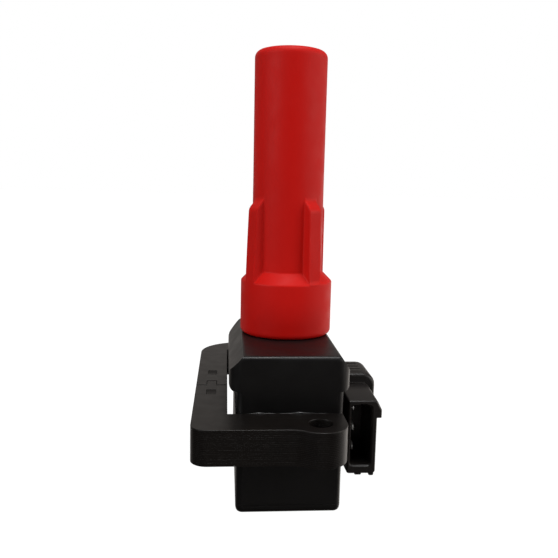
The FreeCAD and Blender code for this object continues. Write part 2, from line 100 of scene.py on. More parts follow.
def offsets(outline):
    """Outward directions along a counter-clockwise outline, long enough to keep its sides parallel."""
    result = []
    for i, here in enumerate(outline):
        first = (here - outline[i - 1]).normalized()
        second = (outline[(i + 1) % len(outline)] - here).normalized()
        one = Vector((first.y, -first.x))
        two = Vector((second.y, -second.x))
        result.append((one + two) / max(0.3, 1 + one.dot(two)))
    return result


def stack_into(bm, outline, levels, holes=()):
    """A closed solid whose section is outline, drawn in by inset at each (height, inset) level.

    A hole widens by at most HOLE_BEVEL, so that its rim stays crisp.
    """
    caps = [[], []]
    for loop, sign in [(outline, 1)] + [(hole, -1) for hole in holes]:
        if sum(a.x * b.y - b.x * a.y for a, b in zip(loop, loop[1:] + loop[:1])) < 0:
            loop = loop[::-1]
        outward = offsets(loop)
        steps = levels if sign > 0 else [(height, min(inset, HOLE_BEVEL)) for height, inset in levels]
        rings = [[bm.verts.new((p.x - n.x * inset * sign, p.y - n.y * inset * sign, height))
                  for p, n in zip(loop, outward)] for height, inset in steps]
        for lower, upper in zip(rings, rings[1:]):
            for i in range(len(loop)):
                j = (i + 1) % len(loop)
                bm.faces.new((lower[i], lower[j], upper[j], upper[i])[::sign])
        for cap, ring in zip(caps, (rings[0], rings[-1])):
            cap.append(ring)
    for cap, up in zip(caps, (-1, 1)):
        if not holes:
            bm.faces.new(cap[0][::up])
            continue
        edges = [bm.edges.get((ring[i], ring[(i + 1) % len(ring)])) for ring in cap for i in range(len(ring))]
        made = bmesh.ops.triangle_fill(bm, use_beauty=True, edges=edges)
        for face in made["geom"]:
            if isinstance(face, bmesh.types.BMFace) and face.normal.z * up < 0:
                face.normal_flip()


def finish_mesh(name, bm, smooth_angle=32, place=None):
    """Make a Blender object from a bmesh in millimetres."""
    bmesh.ops.recalc_face_normals(bm, faces=bm.faces)
    matrix = Matrix.Scale(MM, 4)
    if place is not None:
        matrix = matrix @ place
    bmesh.ops.transform(bm, matrix=matrix, verts=bm.verts)
    mesh = bpy.data.meshes.new(name)
    bm.to_mesh(mesh)
    bm.free()
    piece = bpy.data.objects.new(name, mesh)
    bpy.context.scene.collection.objects.link(piece)
    smooth(piece, smooth_angle)
    return piece


def smooth(piece, angle):
    for polygon in piece.data.polygons:
        polygon.use_smooth = True
    piece.data.set_sharp_from_angle(angle=math.radians(angle))


def stack(name, outline, levels, holes=(), smooth_angle=32, place=None):
    bm = bmesh.new()
    stack_into(bm, outline, levels, holes)
    return finish_mesh(name, bm, smooth_angle, place)


def edge_levels(low, high, radius, steps=3):
    """Levels of a solid from low to high with both its edges rounded."""
    lower = []
    for i in range(steps, -1, -1):
        angle = math.pi / 2 * i / steps
        lower.append((low + radius * (1 - math.sin(angle)), radius * (1 - math.cos(angle))))
    upper = [(low + high - height, inset) for height, inset in lower[::-1]]
    return lower + upper


def lathe_into(bm, profile, steps=96, centre=(0, 0)):
    """Turn a closed profile of (radius, height) points round a vertical axis."""
    rings = []
    for radius, height in profile:
        if radius < 1e-6:
            rings.append([bm.verts.new((centre[0], centre[1], height))])
            continue
        rings.append([bm.verts.new((centre[0] + radius * math.cos(2 * math.pi * i / steps),
                                    centre[1] + radius * math.sin(2 * math.pi * i / steps), height))
                      for i in range(steps)])
    for one, two in zip(rings, rings[1:] + rings[:1]):
        for i in range(steps):
            j = (i + 1) % steps
            corners = [one[i % len(one)], one[j % len(one)], two[j % len(two)], two[i % len(two)]]
            corners = list(dict.fromkeys(corners))
            if len(corners) > 2:
                bm.faces.new(corners)


def lathe(name, corners, steps=96, smooth_angle=32, centre=(0, 0)):
    bm = bmesh.new()
    profile = [(p.x, p.y) for p in round_corners(corners, 15)]
    lathe_into(bm, profile, steps, centre)
    return finish_mesh(name, bm, smooth_angle)


def box_into(bm, low, high, radius=0.0, steps=2):
    """A box with its edges rounded."""
    made = bmesh.ops.create_cube(bm, size=1)
    verts = made["verts"]
    size = Vector(high) - Vector(low)
    bmesh.ops.scale(bm, vec=size, verts=verts)
    bmesh.ops.translate(bm, vec=(Vector(high) + Vector(low)) / 2, verts=verts)
    if radius > 0:
        edges = list({edge for vert in verts for edge in vert.link_edges})
        bmesh.ops.bevel(bm, geom=edges, offset=radius, segments=steps, profile=0.5, affect="EDGES")


def box_piece(name, low, high, radius=0.0, steps=2):
    bm = bmesh.new()
    box_into(bm, low, high, radius, steps)
    return finish_mesh(name, bm, 40)


def apply_modifiers(piece):
    graph = bpy.context.evaluated_depsgraph_get()
    mesh = bpy.data.meshes.new_from_object(piece.evaluated_get(graph))
    piece.modifiers.clear()
    piece.data = mesh
    return piece


def combine(piece, others, operation):
    """Join, cut or cross a piece with others, which are used up."""
    for other in others:
        modifier = piece.modifiers.new("combine", "BOOLEAN")
        modifier.operation = operation
        modifier.solver = "EXACT"
        modifier.object = other
    apply_modifiers(piece)
    for other in others:
        bpy.data.objects.remove(other, do_unlink=True)
    return piece


def merge(piece, others):
    """Put closed shells that pass into each other in one mesh; the others are used up."""
    bm = bmesh.new()
    for item in [piece, *others]:
        bm.from_mesh(item.data)
    bm.to_mesh(piece.data)
    bm.free()
    for other in others:
        bpy.data.objects.remove(other, do_unlink=True)
    return piece


# ---- materials ----

class Surface:
    """A node material with a few short calls for what changes across it."""

    def __init__(self, name, color, roughness, metallic=0.0, specular=0.5):
        self.material = bpy.data.materials.new(name)
        self.material.use_nodes = True
        self.nodes = self.material.node_tree.nodes
        self.links = self.material.node_tree.links
        self.shader = self.nodes["Principled BSDF"]
        self.set("Base Color", (*color, 1))
        self.set("Roughness", roughness)
        self.set("Metallic", metallic)
        self.set("Specular IOR Level", specular)
        self.color = color
        self.roughness = roughness
        self.place = self.nodes.new("ShaderNodeTexCoord").outputs["Object"]
        self.normal = None

    def set(self, socket, value):
        self.shader.inputs[socket].default_value = value
        return self

    def noise(self, scale, detail=4.0, stretch=(1, 1, 1), distortion=0.0):
        """Noise whose grain repeats about scale times per metre."""
        mapping = self.nodes.new("ShaderNodeMapping")
        mapping.inputs["Scale"].default_value = stretch
        self.links.new(self.place, mapping.inputs["Vector"])
        texture = self.nodes.new("ShaderNodeTexNoise")
        texture.inputs["Scale"].default_value = scale
        texture.inputs["Detail"].default_value = detail
        texture.inputs["Distortion"].default_value = distortion
        self.links.new(mapping.outputs["Vector"], texture.inputs["Vector"])
        return texture.outputs["Fac"]

    def ribs(self, direction, per_metre, distortion=0.0):
        """Even bands across one axis."""
        bands_at_scale_one = 20 / (2 * math.pi)
        wave = self.nodes.new("ShaderNodeTexWave")
        wave.bands_direction = direction
        wave.inputs["Scale"].default_value = per_metre / bands_at_scale_one
        wave.inputs["Distortion"].default_value = distortion
        self.links.new(self.place, wave.inputs["Vector"])
        return wave.outputs["Fac"]

    def ramp(self, source, low, high, low_at=0.35, high_at=0.65):
        ramp = self.nodes.new("ShaderNodeMapRange")
        ramp.inputs["From Min"].default_value = low_at
        ramp.inputs["From Max"].default_value = high_at
        ramp.inputs["To Min"].default_value = low
        ramp.inputs["To Max"].default_value = high
        self.links.new(source, ramp.inputs["Value"])
        return ramp.outputs["Result"]

    def mottle(self, source, other, low_at=0.4, high_at=0.65):
        """Mix the base colour towards another where source is high."""
        mix = self.nodes.new("ShaderNodeMix")
        mix.data_type = "RGBA"
        self.links.new(self.ramp(source, 0, 1, low_at, high_at), mix.inputs["Factor"])
        earlier = self.shader.inputs["Base Color"].links
        if earlier:
            self.links.new(earlier[0].from_socket, mix.inputs["A"])
        else:
            mix.inputs["A"].default_value = (*self.color, 1)
        mix.inputs["B"].default_value = (*other, 1)
        self.links.new(mix.outputs["Result"], self.shader.inputs["Base Color"])
        return self

    def vary_roughness(self, source, spread):
        low = max(0.02, self.roughness - spread)
        self.links.new(self.ramp(source, low, self.roughness + spread), self.shader.inputs["Roughness"])
        return self

    def bump(self, source, height, strength=1.0):
        """Raise the surface by up to height millimetres where source is high."""
        node = self.nodes.new("ShaderNodeBump")
        node.inputs["Distance"].default_value = height * MM
        node.inputs["Strength"].default_value = strength
        self.links.new(source, node.inputs["Height"])
        if self.normal is not None:
            self.links.new(self.normal, node.inputs["Normal"])
        self.normal = node.outputs["Normal"]
        self.links.new(self.normal, self.shader.inputs["Normal"])
        return self


def moulded_black(name, color=(0.0018, 0.0016, 0.0016), roughness=0.4, grain=0.012):
    """Glass-filled moulding: satin, with a fine eroded grain and slow changes of gloss."""
    surface = Surface(name, color, roughness, specular=0.22)
    surface.mottle(surface.noise(90), tuple(c * 1.3 for c in color))
    surface.vary_roughness(surface.noise(160, 5), 0.04)
    surface.bump(surface.noise(3200, 2), grain, 0.5)
    surface.bump(surface.noise(45, 2), 0.03, 0.3)
    return surface.material


def coated_steel():
    """Dip-coated sheet stack: brownish black, dull, slightly uneven, with rubbed spots."""
    surface = Surface("coated_steel", (0.0030, 0.0022, 0.0018), 0.38, specular=0.2)
    surface.mottle(surface.noise(70, 6), (0.0026, 0.0020, 0.0018))
    surface.mottle(surface.noise(420, 8), (0.0056, 0.0045, 0.0040), 0.6, 0.78)
    surface.vary_roughness(surface.noise(240, 6), 0.03)
    surface.bump(surface.noise(900, 4), 0.01, 0.4)
    surface.bump(surface.noise(120, 3), 0.008, 0.2)
    return surface.material


def red_silicone():
    """Pressed silicone: saturated red, soft sheen, faint cloudiness and fine skin."""
    surface = Surface("red_silicone", (0.385, 0.0042, 0.0025), 0.55, specular=0.09)
    surface.set("Subsurface Weight", 0.12)
    surface.set("Subsurface Radius", (1.0, 0.2, 0.1))
    surface.set("Subsurface Scale", 0.0012)
    surface.mottle(surface.noise(60, 3, (1, 1, 0.4)), (0.35, 0.0045, 0.0028))
    surface.vary_roughness(surface.noise(220, 5), 0.06)
    surface.bump(surface.noise(2600, 3), 0.008, 0.5)
    surface.bump(surface.noise(110, 2), 0.03, 0.4)
    return surface.material


def glossy_bead():
    surface = Surface("sealant", (0.004, 0.004, 0.0042), 0.3, specular=0.3)
    surface.vary_roughness(surface.noise(500), 0.08)
    surface.bump(surface.noise(700, 2), 0.05, 0.6)
    return surface.material


def metal(name, color, roughness, stretch=(1, 1, 1), scale=1500, metallic=1.0):
    """Drawn or stamped metal, with streaks along the shortened direction."""
    surface = Surface(name, color, roughness, metallic=metallic)
    surface.mottle(surface.noise(130, 4), tuple(c * 0.78 for c in color))
    surface.vary_roughness(surface.noise(scale, 3, stretch), min(0.1, roughness * 0.4))
    surface.bump(surface.noise(scale, 2, stretch), 0.006, 0.5)
    return surface.material


def wound_wire(name, color, ribs_per_metre):
    """Enamelled wire wound round the Y axis: a ribbed surface, one rib for several turns."""
    surface = Surface(name, color, 0.3, metallic=0.85)
    surface.bump(surface.ribs("Y", ribs_per_metre, 0.6), 0.08, 0.8)
    surface.mottle(surface.noise(300), tuple(c * 0.6 for c in color))
    return surface.material


def cast_resin():
    surface = Surface("cast_resin", (0.012, 0.0115, 0.011), 0.2)
    surface.mottle(surface.noise(50, 5), (0.022, 0.02, 0.018))
    surface.vary_roughness(surface.noise(130, 4), 0.1)
    surface.bump(surface.noise(38, 2), 0.12, 0.5)
    surface.bump(surface.noise(900, 2), 0.01, 0.4)
    return surface.material


def pale_insulator(name, color, roughness, grain=700):
    surface = Surface(name, color, roughness)
    surface.mottle(surface.noise(200, 5), tuple(c * 0.8 for c in color))
    surface.vary_roughness(surface.noise(400, 4), 0.08)
    surface.bump(surface.noise(grain, 3), 0.015, 0.5)
    return surface.material


def laid_sheets(name, color):
    """Bare laminated steel seen on its edges."""
    surface = Surface(name, color, 0.35, metallic=1.0)
    surface.bump(surface.ribs("Z", 2037), 0.06, 0.8)
    surface.mottle(surface.noise(260, 5), tuple(c * 0.7 for c in color))
    return surface.material


def dress(piece, material):
    piece.data.materials.clear()
    piece.data.materials.append(material)


def keep_node(node, material):
    """A CAD node that stays as it is gets its finished material."""
    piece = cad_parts[node]
    if not piece.material_slots:
        piece.data.materials.append(material)
    for entry in piece.material_slots:
        entry.material = material


def place_piece(piece, body, material, nodes=()):
    dress(piece, material)
    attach(piece, body)
    if nodes:
        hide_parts(*nodes)
    return piece


# ---- sizes, from the frame ----

case_low, case_high = mm_box("case")
front_core_low, front_core_high = mm_box("outer_core_front")
rear_core_low = mm_box("outer_core_rear")[0]
boot_low, boot_high = mm_box("plug_boot")
FRONT = case_low.y
BACK = case_high.y
BODY_LEFT = -16.0
BODY_RIGHT = 14.1
HEAD_BACK = 22.0
HEAD_RIGHT = 16.0
HEAD_LOW = 35.5
HEAD_TOP = boot_low.z
TOWER_TOP = 59.7
CORE_LOW = front_core_low.z
CORE_HIGH = front_core_high.z


# ---- boot ----

TUBE_RADIUS = 11.2
COLLAR_RADIUS = 14.5
SHOULDER_LOW = 62.5
SHOULDER_HIGH = 65.8
FIN_TURN = math.radians(33)
FIN_RADIUS = 13.6
FIN_TOP = 88.0
FIN_BEVEL = 2.7
FIN_HALF_THICK = 2.2
FIN_FLARES = (0.1, 0.5, 0.9, 0.5)  # how much further out each fin's foot stands


def soft_max(a, b, blend):
    """The larger of two sizes, with the crease between them filleted over blend."""
    spread = max(blend - abs(a - b), 0) / blend
    return max(a, b) + spread * spread * blend / 4


def soft_min(a, b, blend):
    return -soft_max(-a, -b, blend)


def fin_reach(angle, height):
    """How far out the nearest of the four fins stands at an angle and a height."""
    quarter = math.pi / 2
    number = round((angle - FIN_TURN) / quarter)
    off = abs(angle - FIN_TURN - number * quarter)
    side = FIN_HALF_THICK / max(math.sin(off), 0.02)
    along = (height - SHOULDER_LOW) / (FIN_TOP - FIN_BEVEL - SHOULDER_LOW)
    face = FIN_RADIUS + FIN_FLARES[number % 4] * (1 - min(max(along, 0), 1))
    face = soft_min(face, FIN_TOP - height + FIN_RADIUS - FIN_BEVEL, 0.9)
    return soft_min(side, face / math.cos(off), 0.9)


def boot_angles():
    """Angles round the boot, close together where the fins' sides are steep."""
    near = (1, 2, 3, 4, 5, 6, 7, 7.6, 8.1, 8.5, 8.9, 9.3, 9.7, 10.1, 10.5, 10.9, 11.4, 12, 13, 14.5, 17)
    offs = [*near, 20, 24, 28, 32, 36, 40]
    angles = []
    for fin in range(4):
        middle = FIN_TURN + fin * math.pi / 2
        angles.append(middle)
        angles += [middle + sign * math.radians(off) for sign in (-1, 1) for off in offs]
        angles.append(middle + math.radians(45))
    return sorted(angles)


def boot_profile():
    """Closed outline of the boot's wall, with short steps on the outside."""
    plug_bore, plug_bore_low = 5.1, 113.2
    chamber, chamber_low = 4.8, 86
    neck_bore, neck_bore_low = 6.5, 60
    tower_bore = 10.5
    outline = round_corners([(tower_bore, HEAD_TOP + 0.02, 0.3), (COLLAR_RADIUS, HEAD_TOP + 0.02, 1.5),
                             (COLLAR_RADIUS, SHOULDER_LOW, 0.9), (TUBE_RADIUS, SHOULDER_HIGH, 0.6),
                             (TUBE_RADIUS - 0.1, 93, 0), (TUBE_RADIUS, boot_high.z, 2.2),
                             (plug_bore, boot_high.z, 0.7), (plug_bore, plug_bore_low, 0.2),
                             (chamber, plug_bore_low - 0.5, 0.2), (chamber, chamber_low, 0.2),
                             (neck_bore, chamber_low, 0.2), (neck_bore, neck_bore_low, 0.2),
                             (tower_bore, neck_bore_low, 0.4)], 12)
    profile = []
    for point, following in zip(outline, outline[1:] + outline[:1]):
        inside = max(point.x, following.x) < TUBE_RADIUS - 0.5
        steps = max(1, math.ceil((following - point).length / (6 if inside else 0.5)))
        profile += [point.lerp(following, step / steps) for step in range(steps)]
    return profile


def build_boot(material):
    bm = bmesh.new()
    angles = boot_angles()
    rings = []
    for point in boot_profile():
        finned = point.x > TUBE_RADIUS - 0.6 and SHOULDER_LOW - 1 < point.y < FIN_TOP + 0.6
        ring = []
        for angle in angles:
            radius = point.x
            height = point.y
            if finned:
                radius = min(soft_max(radius, fin_reach(angle, height), 0.9), COLLAR_RADIUS)
            ring.append(bm.verts.new((radius * math.cos(angle), radius * math.sin(angle), height)))
        rings.append(ring)
    count = len(angles)
    for one, two in zip(rings, rings[1:] + rings[:1]):
        for i in range(count):
            j = (i + 1) % count
            bm.faces.new((one[i], one[j], two[j], two[i]))
    piece = finish_mesh("boot", bm, 50)
    return place_piece(piece, "boot", material, ["plug_boot"])


# ---- case ----

def build_case(material):
    """Open-bottomed case with its wide bevelled head and the tower that the boot sits on."""
    front = FRONT + 0.02
    body_outline = round_corners([(BODY_LEFT, front, 2), (BODY_RIGHT, front, 2),
                                  (BODY_RIGHT, BACK, 2), (BODY_LEFT, BACK, 2)])
    rim = [(0, 1.25), (0.12, 0.8), (0.4, 0.42), (0.85, 0.16), (1.4, 0.03), (2.0, 0.0),
           (2.3, 0.0), (2.38, 0.1), (2.55, 0.1), (2.65, 0.0)]
    body = stack("case_body", body_outline, rim + [(HEAD_LOW + 2, 0)])
    head = build_head()
    wide, narrow, ring_out = 10.2, 6.2, 10.45
    tower = lathe("case_tower", [(0, HEAD_TOP - 3, 0), (wide, HEAD_TOP - 3, 0), (wide, TOWER_TOP, 0.8),
                                 (narrow, TOWER_TOP, 0.6), (narrow, case_high.z, 0.9), (0, case_high.z, 0)])
    ring = lathe("tower_rings", [(8, 51, 0), (wide, 51, 0), (ring_out, 51.4, 0.1), (ring_out, 52.2, 0.1),
                                 (wide, 52.6, 0), (8, 52.6, 0)])
    combine(body, [head, tower, ring], "UNION")
    wall, resistor_bore = 2, 4.6
    deep = box_piece("room_under_head", (BODY_LEFT + wall, FRONT + wall, -1),
                     (BODY_RIGHT - wall, HEAD_BACK - wall, HEAD_TOP - wall), 1, 3)
    low = box_piece("room_behind_head", (BODY_LEFT + wall, FRONT + wall, -1),
                    (BODY_RIGHT - wall, BACK - wall, HEAD_LOW - wall), 1, 3)
    bore = lathe("tower_bore", [(0, 42.7, 0), (resistor_bore, 42.7, 0),
                                (resistor_bore, 87, 0), (0, 87, 0)], 64)
    magnet_low, magnet_high = mm_box("core_magnet")
    core_window = box_piece("core_window", (magnet_low.x, FRONT - 1, CORE_LOW),
                            (magnet_high.x, BACK + 1, CORE_HIGH))
    side_window = box_piece("side_window", (BODY_RIGHT - 3, -6.4, 7.8), (BODY_RIGHT + 1, 5.6, 29.8))
    combine(body, [deep, low, bore, core_window, side_window], "DIFFERENCE")
    smooth(body, 30)
    body.name = "case_moulding"
    return place_piece(body, "root", material, ["case"])


def build_head():
    """The head's plan has round corners; its section has a long bevel on each side."""
    left, right = case_low.x, HEAD_RIGHT
    plan = round_corners([(left - 0.02, FRONT, 4), (right + 0.02, FRONT, 4),
                          (right + 0.02, HEAD_BACK, 8), (left - 0.02, HEAD_BACK, 8)], 7)
    top = edge_levels(HEAD_LOW - 9, HEAD_TOP + 0.02, 1.5, 4)
    head = stack("case_head", plan, [(HEAD_LOW - 1, 0)] + [level for level in top if level[0] > HEAD_LOW])
    bevel_foot = HEAD_TOP - 4.5
    left_bevel, right_bevel = 4, 3
    section = round_corners([(left, HEAD_LOW, 1.8), (right, HEAD_LOW, 1.8),
                             (right, bevel_foot, 2.5), (right - right_bevel, HEAD_TOP, 1.2),
                             (left + left_bevel, HEAD_TOP, 1.2), (left, bevel_foot, 2.5)], 9)
    upright = Matrix.Rotation(math.radians(90), 4, "X")
    crossed = stack("head_section", section, [(-60, 0), (60, 0)], place=upright)
    combine(head, [crossed], "INTERSECT")
    return head


# ---- laminated outer core ----

SHEETS = 20
SHEET_GAP = 0.012
BAR_WIDTH = 12.5
LEG_INNER = -18.5
LEG_MIDDLE = -23.4
KEY_HALF_WIDTH = 1.5
HOLE_RADIUS = 3.3


def core_outline(front):
    """Plan of one half of the outer core, with its ear and the key at the seam."""
    low = front_core_low if front else rear_core_low
    ear_x, ear_radius, proud, blend = 6.5, 7.3, 2.6, 9.0
    inner = FRONT if front else BACK
    way = -1 if front else 1
    outer = inner + BAR_WIDTH * way
    ear_y = outer + (proud - ear_radius) * way
    reach = blend + ear_radius
    drop = blend + ear_radius - proud
    lead_x = ear_x - math.sqrt(reach * reach - drop * drop)
    tip = Vector((ear_x, ear_y))
    bend = Vector((lead_x, outer + blend * way))
    join = tip + (bend - tip).normalized() * ear_radius
    ear = arc(bend, blend, math.atan2(outer - bend.y, 0.0), math.atan2(join.y - bend.y, join.x - bend.x), 6)
    ear += arc(tip, ear_radius, math.atan2(join.y - tip.y, join.x - tip.x), 0.0, 18)[1:]
    far = 50
    corner_radius = 4.5 if front else 15.5
    corner = round_corners([(low.x, outer, corner_radius), (far, outer, 0), (low.x, 0, 0)], 7)[:-2]
    if corner[0].y * way > corner[-1].y * way:
        corner = corner[::-1]
    return corner + ear + seam_side(front, low.x, inner, ear_x + ear_radius), tip


def seam_side(front, left, inner, right):
    """The half's inner edge and its end at the seam, where a key of one half sits in a notch of the other."""
    seam, key_end, gap, side_gap = -6.2, -1.8, 0.22, 0.03
    way = -1 if front else 1
    side = seam + gap * way
    key = key_end + gap * way
    half = KEY_HALF_WIDTH + side_gap * way
    return [Vector((right, inner)), Vector((LEG_INNER, inner)), Vector((LEG_INNER, side)),
            Vector((LEG_MIDDLE + half, side)), Vector((LEG_MIDDLE + half, key)),
            Vector((LEG_MIDDLE - half, key)), Vector((LEG_MIDDLE - half, side)), Vector((left, side))]


def build_core(front, material):
    """Sheets with a hair's gap between them, each a little out of line; the top one shows a clinch mark."""
    outline, ear = core_outline(front)
    hole = circle(ear.x, ear.y, HOLE_RADIUS)
    bm = bmesh.new()
    pitch = (CORE_HIGH - CORE_LOW) / SHEETS
    mark = (LEG_MIDDLE, -13.3 if front else 7.8)
    for i in range(SHEETS):
        low = CORE_LOW + pitch * i + SHEET_GAP / 2
        high = low + pitch - SHEET_GAP
        shift = rng.uniform(0, 0.014)
        edge = 0.02
        levels = [(low, shift + edge), (low + edge, shift), (high - edge, shift), (high, shift + edge)]
        holes = [hole]
        if i == SHEETS - 1:
            holes.append(rectangle(*mark, 1.45, 2.2))
            levels[2:] = [(high - 0.16, shift), (high - 0.07, shift + 0.03),
                          (high - 0.02, shift + 0.09), (high, shift + 0.16)]
        stack_into(bm, outline, levels, holes)
    tongue_into(bm, *mark, CORE_HIGH - SHEET_GAP / 2)
    name = "front_lamination_stack" if front else "rear_lamination_stack"
    piece = finish_mesh(name, bm, 28)
    for polygon in piece.data.polygons:
        polygon.use_smooth = abs(polygon.normal.z) < 0.999
    node = "outer_core_front" if front else "outer_core_rear"
    return place_piece(piece, "root", material, [node])


def rectangle(x, y, half_x, half_y):
    return round_corners([(x - half_x, y - half_y, 0.25), (x + half_x, y - half_y, 0.25),
                          (x + half_x, y + half_y, 0.25), (x - half_x, y + half_y, 0.25)], 30)


def tongue_into(bm, x, y, top):
    """The punched tongue in a clinch mark: bent down in a shallow V."""
    half_x, half_y, drop, thick = 1.42, 1.7, 0.4, 0.06
    rows = [(-half_y, -0.06), (-0.25, -drop), (0.25, -drop), (half_y, -0.06)]
    upper = [[bm.verts.new((x + side * half_x, y + along, top + height)) for side in (-1, 1)]
             for along, height in rows]
    lower = [[bm.verts.new((x + side * half_x, y + along, top + height - thick)) for side in (-1, 1)]
             for along, height in rows]
    for (a, b), (c, d) in zip(upper, upper[1:]):
        bm.faces.new((a, b, d, c))
    for (a, b), (c, d) in zip(lower, lower[1:]):
        bm.faces.new((c, d, b, a))
    for one, two in zip(range(3), range(1, 4)):
        for side in (0, 1):
            bm.faces.new((upper[one][side], upper[two][side], lower[two][side], lower[one][side]))
    for end in (0, 3):
        bm.faces.new((upper[end][0], upper[end][1], lower[end][1], lower[end][0]))


def build_sealant(material):
    """Uneven bead where the case's front meets the core's top face."""
    bm = bmesh.new()
    low, high = mm_box("core_sealant")
    steps, around, buried = 90, 8, 0.15
    rings = []
    for i in range(steps + 1):
        x = low.x + (high.x - low.x) * i / steps
        swell = 0.07 + 0.03 * math.sin(x * 1.7)
        swell += 0.4 * math.exp(-((x + 10) / 2.0) ** 2) + 0.45 * math.exp(-((x - 2) / 2.2) ** 2)
        swell *= min(1, 0.25 + 1.2 * math.sin(math.pi * i / steps))
        ring = [bm.verts.new((x, FRONT + buried, CORE_HIGH - buried))]
        for k in range(around):
            angle = math.pi / 2 * k / (around - 1)
            ring.append(bm.verts.new((x, FRONT + buried - (swell + buried) * math.cos(angle),
                                      CORE_HIGH - buried + (swell + buried) * math.sin(angle))))
        rings.append(ring)
    for one, two in zip(rings, rings[1:]):
        for i in range(len(one)):
            j = (i + 1) % len(one)
            bm.faces.new((one[i], one[j], two[j], two[i]))
    bm.faces.new(rings[0])
    bm.faces.new(rings[-1])
    piece = finish_mesh("sealant_bead", bm, 60)
    return place_piece(piece, "root", material, ["core_sealant"])


# ---- connector ----

SHROUD = {"left": 17.0, "right": 25.7, "low": 7.8, "high": 30.3, "mouth": -25.0, "back": -8.4,
          "rib_right": 27.1, "rib_low": 24.9, "rib_high": 27.4}
LYING = Matrix.Rotation(math.radians(90), 4, "X")


def along_y(name, corners, levels):
    """A section in X and Z, stacked from front to back at each (place, inset) level."""
    return stack(name, round_corners(corners, 15), [(-y, inset) for y, inset in levels], place=LYING)


def build_shroud():
    """The socket's outside, a drafted box with the lock rib on its upper right corner, and its two keels."""
    s = SHROUD
    outline = [(s["left"], s["low"], 0.9), (s["right"], s["low"], 0.9), (s["right"], s["rib_low"], 0.2),
               (s["rib_right"], s["rib_low"], 0.3), (s["rib_right"], s["rib_high"], 1.2),
               (25.6, s["high"], 1.0), (s["left"], s["high"], 0.5)]
    shroud = along_y("socket_moulding", outline, [(s["mouth"], 0.4), (s["mouth"] + 0.15, 0.16),
                                                  (s["mouth"] + 0.45, 0.0), (s["back"] + 1, -0.35)])
    keels = []
    for left, right, drop in ((19.5, 21.6, 0.5), (23.8, 25.3, 0.75)):
        keel = [(left, s["low"] - drop, 0.4), (right, s["low"] - drop, 0.4),
                (right, s["low"] + 1, 0), (left, s["low"] + 1, 0)]
        keels.append(along_y(f"socket_keel_{left}", keel, [(s["mouth"] + 0.1, 0.2), (s["mouth"] + 0.5, 0),
                                                           (s["back"] + 0.7, 0)]))
    return shroud, keels


def build_root():
    """The block between the case and the shroud, with low ridges on top and a step over the shroud."""
    s = SHROUD
    right, top = 28.5, 33.8
    left, bottom = BODY_RIGHT - 0.2, 7.9
    outline = [(left, bottom, 0.3), (right, bottom, 1.2), (right, top, 3.8), (left, top, 0.3)]
    root = along_y("socket_root", outline, [(s["back"], 1.2), (s["back"] + 0.15, 0.7), (s["back"] + 0.5, 0.3),
                                            (s["back"] + 1.2, 0.0), (6.0, 0.0), (6.5, 0.5)])
    ridges = [box_piece(f"ridge_{i}", (17.0, s["back"] + 2.6 + 3 * i, top - 0.6),
                        (24.6, s["back"] + 3.8 + 3 * i, top + 0.16), 0.15) for i in range(4)]
    step = box_piece("socket_step", (17.3, s["back"] - 0.8, 28.9),
                     (25.2, s["back"] + 1, s["high"] + 0.75), 0.35)
    spigot = box_piece("socket_spigot", (BODY_RIGHT - 1.9, -6.3, 8.0), (BODY_RIGHT + 0.5, 5.5, 29.7))
    return [root, step, spigot, *ridges]


def build_socket(material):
    """Connector socket: shroud, root and cavity, open towards the front."""
    s = SHROUD
    shroud, keels = build_shroud()
    left, right, low, high = 18.0, 24.1, 10.4, 28.7
    inner = [(left, low, 0.8), (right, low, 0.8), (right, high, 0.8), (left, high, 0.8)]
    cavity = along_y("socket_cavity", inner, [(s["mouth"] - 1, -0.45), (s["mouth"], -0.4),
                                              (s["mouth"] + 0.45, 0), (-10.4, 0.15)])
    groove = [(20.2, 28.2, 0.2), (22.8, 28.2, 0.2), (22.8, 29.3, 0.2), (20.2, 29.3, 0.2)]
    slot = along_y("socket_groove", groove, [(s["mouth"] - 1, 0), (-13, 0)])
    combine(shroud, [cavity, slot], "DIFFERENCE")
    merge(shroud, keels + build_root())
    smooth(shroud, 32)
    return place_piece(shroud, "root", material, ["connector_housing"])


def build_blade(node, material):
    """A tinned blade: the CAD strip's place, with a coined tip and rounded edges."""
    low, high = mm_box(node)
    half, thick, rounding = 1.15, 0.64, 0.1
    top = high.z
    middle_z = top - half
    blade_left = high.x - thick
    bm = bmesh.new()
    box_into(bm, (blade_left, low.y + 0.9, middle_z - half),
             (high.x, high.y - 0.7, middle_z + half), rounding)
    tip = bmesh.ops.create_cube(bm, size=1)["verts"]
    centre_x = (blade_left + high.x) / 2
    for vert in tip:
        at_front = vert.co.y < 0
        narrow = 0.42 if at_front else 1.0
        vert.co = Vector((centre_x + vert.co.x * 0.62 * narrow,
                          low.y if at_front else low.y + 1.1,
                          middle_z + vert.co.z * 2 * half * (0.72 if at_front else 0.985)))
    strip_y = high.y - 1.0
    post_left, post_right = low.x + 3.4, low.x + 4.04
    box_into(bm, (post_left, strip_y - thick / 2, middle_z - half),
             (high.x, strip_y + thick / 2, middle_z + half), rounding)
    box_into(bm, (post_left, strip_y - 1, low.z), (post_right, strip_y + 1, top), rounding)
    box_into(bm, (low.x, strip_y - 1, low.z), (post_right, strip_y + 1, low.z + thick), rounding)
    piece = finish_mesh("blade_" + node.split("_")[1], bm, 40)
    return place_piece(piece, "root", material, [node])


# ---- spring ----

